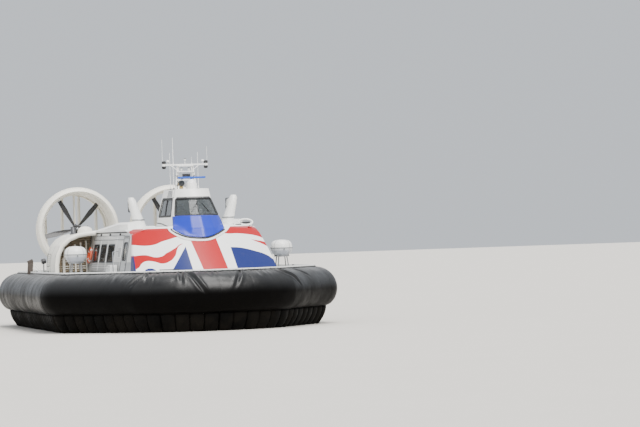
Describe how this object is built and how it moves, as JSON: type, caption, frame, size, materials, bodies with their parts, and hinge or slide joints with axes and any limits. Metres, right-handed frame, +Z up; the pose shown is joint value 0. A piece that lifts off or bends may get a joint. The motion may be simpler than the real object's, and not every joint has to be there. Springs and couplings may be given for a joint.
{
  "type": "passenger hovercraft",
  "caption": "Passenger hovercraft with an inflated skirt, a raised wheelhouse, ducted propellers with rudders at the stern and rotating bow thrusters.",
  "frame": {"origin": "on the ground under the middle of the craft, on its centreline", "axes": "+Z up, bow towards -Y, starboard towards -X"},
  "size_m": [12.8668, 23.1424, 8.08],
  "materials": {
    "white": "satin white paint",
    "cream": "satin off-white paint",
    "grey": "satin light grey paint",
    "flag": "gloss paint in red, white and blue bands",
    "blue": "gloss blue paint",
    "hull": "bare and painted aluminium",
    "bag": "matt black coated fabric",
    "finger": "matt grey-brown coated fabric",
    "glass": "tinted",
    "metal": "dull metal",
    "dark": "satin black",
    "seat": "woven cloth"
  },
  "bodies": {
    "craft": {"hull": "hull", "deck_rim": "white", "skirt_bag_bow": "bag", "skirt_bag_starboard": "bag", "skirt_bag_port": "bag", "skirt_bag_stern": "bag", "skirt_fingers": "finger", "landing_skid_starboard": "metal", "landing_skid_port": "metal", "cabin_wall_starboard": "grey", "cabin_wall_port": "grey", "cabin_rear_bulkhead": "white", "front_cowl": "flag", "cabin_roof": "white", "wheelhouse_lower_wall": "blue", "wheelhouse_upper_wall": "white", "windshield": "glass", "wheelhouse_side_glass_starboard": "glass", "wheelhouse_side_glass_port": "glass", "wheelhouse_roof": "white", "helm_deck": "grey", "seat_rows_starboard": "seat", "seat_rows_port": "seat", "intake_grille_starboard": "metal", "intake_grille_port": "metal", "machinery_cover_starboard": "cream", "machinery_cover_port": "cream", "engine_starboard": "metal", "engine_port": "metal", "duct_starboard": "cream", "duct_port": "cream", "hub_support_starboard": "cream", "hub_support_port": "cream", "rudder_ring_starboard": "cream", "rudder_ring_port": "cream", "mast": "white", "liferaft_starboard": "white", "liferaft_port": "white", "liferaft_cradle_starboard": "metal", "liferaft_cradle_port": "metal"},
    "cabin_door_starboard": {"cabin_door_starboard": "grey"},
    "cabin_door_port": {"cabin_door_port": "grey"},
    "propeller_starboard": {"propeller_starboard": "dark"},
    "propeller_port": {"propeller_port": "dark"},
    "bow_thruster_starboard": {"bow_thruster_starboard": "white"},
    "bow_thruster_port": {"bow_thruster_port": "white"},
    "radar_scanner": {"radar_scanner": "blue"},
    "searchlight": {"searchlight": "dark"},
    "rudder_starboard_1": {"rudder_starboard_1": "cream"},
    "rudder_starboard_2": {"rudder_starboard_2": "cream"},
    "rudder_starboard_3": {"rudder_starboard_3": "cream"},
    "rudder_starboard_4": {"rudder_starboard_4": "cream"},
    "rudder_port_1": {"rudder_port_1": "cream"},
    "rudder_port_2": {"rudder_port_2": "cream"},
    "rudder_port_3": {"rudder_port_3": "cream"},
    "rudder_port_4": {"rudder_port_4": "cream"}
  },
  "joints": [
    {"name": "propeller_starboard_spin", "type": "hinge", "parent": "craft", "child": "propeller_starboard", "pos_m": [-2.22, 8.086, 4.4], "axis": [0, 1, 0], "continuous": true},
    {"name": "propeller_port_spin", "type": "hinge", "parent": "craft", "child": "propeller_port", "pos_m": [2.22, 8.086, 4.4], "axis": [0, 1, 0], "continuous": true},
    {"name": "rudder_starboard_1_turn", "type": "hinge", "parent": "craft", "child": "rudder_starboard_1", "pos_m": [-3.42, 9.336, 4.4], "axis": [0, 0, 1], "range_deg": [-30, 30]},
    {"name": "rudder_starboard_2_turn", "type": "hinge", "parent": "craft", "child": "rudder_starboard_2", "pos_m": [-2.62, 9.336, 4.4], "axis": [0, 0, 1], "range_deg": [-30, 30]},
    {"name": "rudder_starboard_3_turn", "type": "hinge", "parent": "craft", "child": "rudder_starboard_3", "pos_m": [-1.82, 9.336, 4.4], "axis": [0, 0, 1], "range_deg": [-30, 30]},
    {"name": "rudder_starboard_4_turn", "type": "hinge", "parent": "craft", "child": "rudder_starboard_4", "pos_m": [-1.02, 9.336, 4.4], "axis": [0, 0, 1], "range_deg": [-30, 30]},
    {"name": "rudder_port_1_turn", "type": "hinge", "parent": "craft", "child": "rudder_port_1", "pos_m": [1.02, 9.336, 4.4], "axis": [0, 0, 1], "range_deg": [-30, 30]},
    {"name": "rudder_port_2_turn", "type": "hinge", "parent": "craft", "child": "rudder_port_2", "pos_m": [1.82, 9.336, 4.4], "axis": [0, 0, 1], "range_deg": [-30, 30]},
    {"name": "rudder_port_3_turn", "type": "hinge", "parent": "craft", "child": "rudder_port_3", "pos_m": [2.62, 9.336, 4.4], "axis": [0, 0, 1], "range_deg": [-30, 30]},
    {"name": "rudder_port_4_turn", "type": "hinge", "parent": "craft", "child": "rudder_port_4", "pos_m": [3.42, 9.336, 4.4], "axis": [0, 0, 1], "range_deg": [-30, 30]},
    {"name": "bow_thruster_starboard_turn", "type": "hinge", "parent": "craft", "child": "bow_thruster_starboard", "pos_m": [-1.96, -4.824, 4.6], "axis": [0, 0, 1], "continuous": true},
    {"name": "bow_thruster_port_turn", "type": "hinge", "parent": "craft", "child": "bow_thruster_port", "pos_m": [1.96, -4.824, 4.6], "axis": [0, 0, 1], "continuous": true},
    {"name": "radar_scanner_turn", "type": "hinge", "parent": "craft", "child": "radar_scanner", "pos_m": [0.06, -6.334, 6.37], "axis": [0, 0, 1], "continuous": true},
    {"name": "searchlight_pan", "type": "hinge", "parent": "craft", "child": "searchlight", "pos_m": [-0.43, -6.524, 6], "axis": [0, 0, 1], "range_deg": [-150, 150]},
    {"name": "cabin_door_starboard_swing", "type": "hinge", "parent": "craft", "child": "cabin_door_starboard", "pos_m": [-2.8975, -6.786, 3.2], "axis": [0.1867, 0, 0.9824], "range_deg": [0, 110]},
    {"name": "cabin_door_port_swing", "type": "hinge", "parent": "craft", "child": "cabin_door_port", "pos_m": [2.8975, -6.786, 3.2], "axis": [0.1867, 0, -0.9824], "range_deg": [0, 110]}
  ],
  "couplings": [
    {"joint": "rudder_starboard_2_turn", "follows": "rudder_starboard_1_turn", "ratio": 1},
    {"joint": "rudder_starboard_3_turn", "follows": "rudder_starboard_1_turn", "ratio": 1},
    {"joint": "rudder_starboard_4_turn", "follows": "rudder_starboard_1_turn", "ratio": 1},
    {"joint": "rudder_port_1_turn", "follows": "rudder_starboard_1_turn", "ratio": 1},
    {"joint": "rudder_port_2_turn", "follows": "rudder_starboard_1_turn", "ratio": 1},
    {"joint": "rudder_port_3_turn", "follows": "rudder_starboard_1_turn", "ratio": 1},
    {"joint": "rudder_port_4_turn", "follows": "rudder_starboard_1_turn", "ratio": 1}
  ]
}
